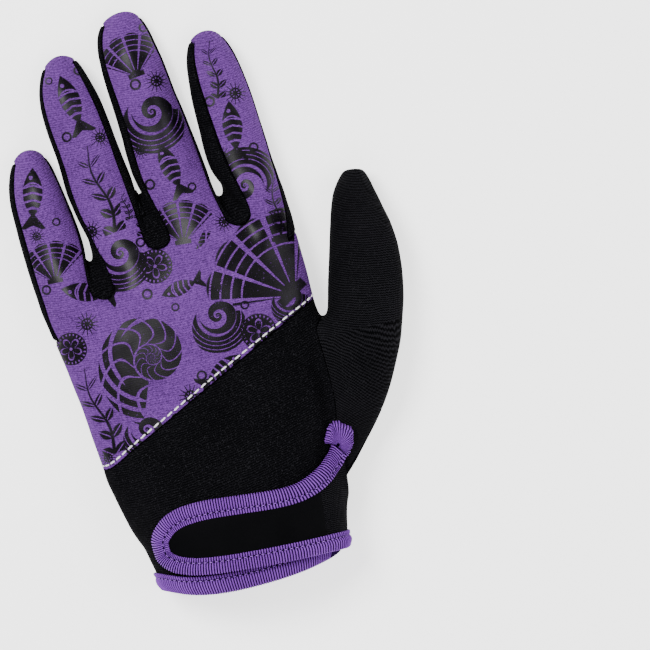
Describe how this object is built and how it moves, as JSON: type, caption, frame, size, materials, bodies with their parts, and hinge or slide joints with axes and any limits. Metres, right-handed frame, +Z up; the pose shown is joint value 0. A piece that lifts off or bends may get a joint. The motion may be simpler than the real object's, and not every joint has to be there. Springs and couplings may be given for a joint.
{
  "type": "diving glove",
  "caption": "Five-finger neoprene diving glove for the left hand, with a printed back, suede palm and a wrist strap over a bound slit.",
  "frame": {"origin": "on the surface that the palm rests on, under the middle of the hand", "axes": "+Y runs from the wrist to the fingertips, +X to the thumb side, +Z up out of the back of the hand"},
  "size_m": [0.1387, 0.2238, 0.0374],
  "materials": {
    "printed_fabric": "matte stretch knit with a glossy dark print",
    "knit_fabric": "matte ribbed stretch knit",
    "suede_fabric": "napped synthetic suede",
    "binding_tape": "ribbed grosgrain tape"
  },
  "bodies": {
    "root": {"back_panel": "printed_fabric", "cuff_back": "knit_fabric", "palm_panel": "suede_fabric", "thumb_back": "knit_fabric", "little_outer_strip": "knit_fabric", "little_ring_strip": "knit_fabric", "ring_middle_strip": "knit_fabric", "middle_index_strip": "knit_fabric", "index_outer_strip": "knit_fabric", "strap": "knit_fabric", "strap_binding": "binding_tape", "slit_binding": "binding_tape", "slit_loop": "binding_tape", "hem_binding": "binding_tape"}
  },
  "joints": []
}
